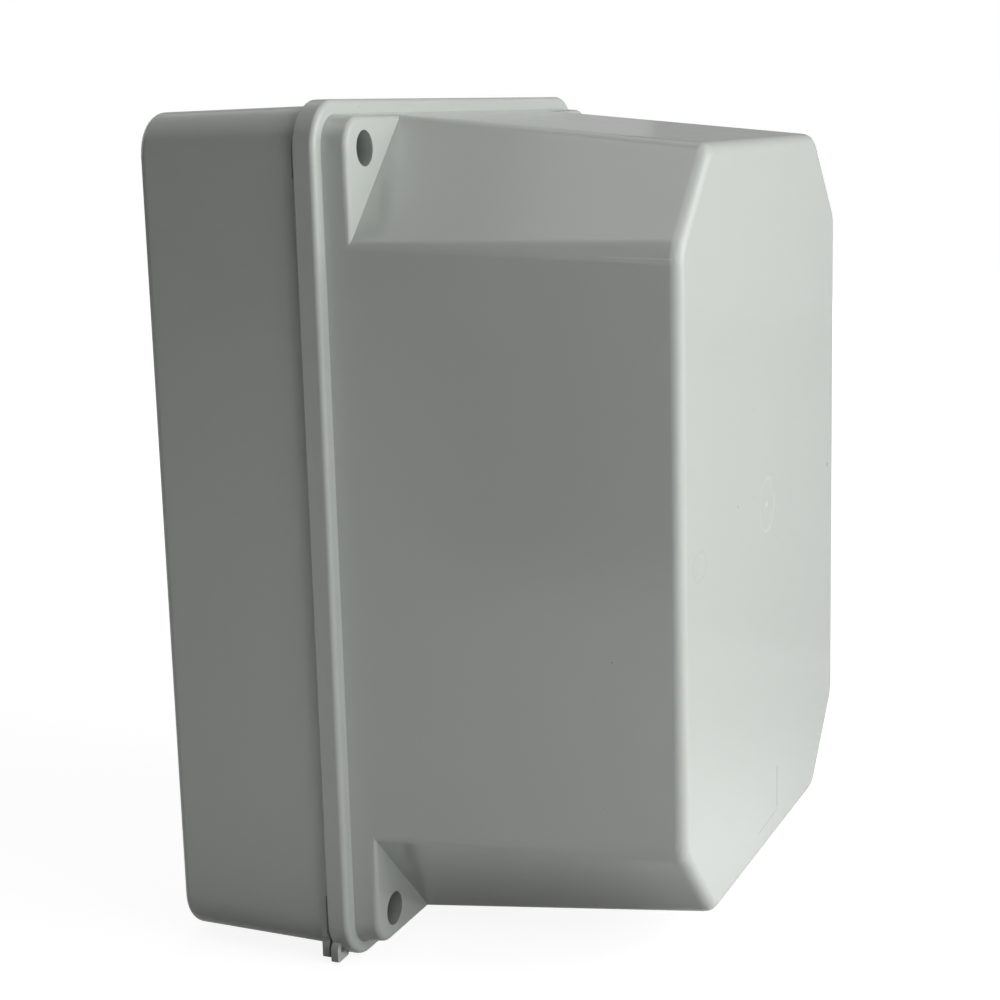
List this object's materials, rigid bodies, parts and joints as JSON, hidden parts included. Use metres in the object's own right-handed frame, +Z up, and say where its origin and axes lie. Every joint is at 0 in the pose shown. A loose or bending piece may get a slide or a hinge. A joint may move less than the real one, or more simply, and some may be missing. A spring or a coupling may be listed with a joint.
{
  "type": "electrical enclosure",
  "caption": "Wall-mounted electrical enclosure: shallow smooth-walled base and a deep lift-off lid with cut-off corners, stepped flange, quarter-turn lid screws and a seal lug.",
  "frame": {"origin": "centre of the flat back of the base, on the wall", "axes": "+Z up, +X to the right as seen from the front, +Y into the wall; the front of the lid looks along -Y"},
  "size_m": [0.202, 0.1596, 0.255],
  "materials": {
    "housing": "satin moulded light grey",
    "gasket": "soft foam, dark",
    "screw": "moulded dark grey"
  },
  "bodies": {
    "base": {"base": "housing"},
    "lid": {"lid": "housing", "lid_gasket": "gasket"},
    "lid_screw_top_left": {"lid_screw_top_left": "screw"},
    "lid_screw_top_right": {"lid_screw_top_right": "screw"},
    "lid_screw_bottom_left": {"lid_screw_bottom_left": "screw"},
    "lid_screw_bottom_right": {"lid_screw_bottom_right": "screw"}
  },
  "joints": [
    {"name": "lid_lift", "type": "slide", "parent": "base", "child": "lid", "axis": [0, -1, 0], "range_m": [0, 0.06]},
    {"name": "lid_screw_top_left_turn", "type": "hinge", "parent": "lid", "child": "lid_screw_top_left", "pos_m": [-0.0843, -0.0554, 0.1137], "axis": [0, 1, 0], "range_deg": [0, 90]},
    {"name": "lid_screw_top_right_turn", "type": "hinge", "parent": "lid", "child": "lid_screw_top_right", "pos_m": [0.0843, -0.0554, 0.1137], "axis": [0, 1, 0], "range_deg": [0, 90]},
    {"name": "lid_screw_bottom_left_turn", "type": "hinge", "parent": "lid", "child": "lid_screw_bottom_left", "pos_m": [-0.0843, -0.0554, -0.1137], "axis": [0, 1, 0], "range_deg": [0, 90]},
    {"name": "lid_screw_bottom_right_turn", "type": "hinge", "parent": "lid", "child": "lid_screw_bottom_right", "pos_m": [0.0843, -0.0554, -0.1137], "axis": [0, 1, 0], "range_deg": [0, 90]}
  ]
}
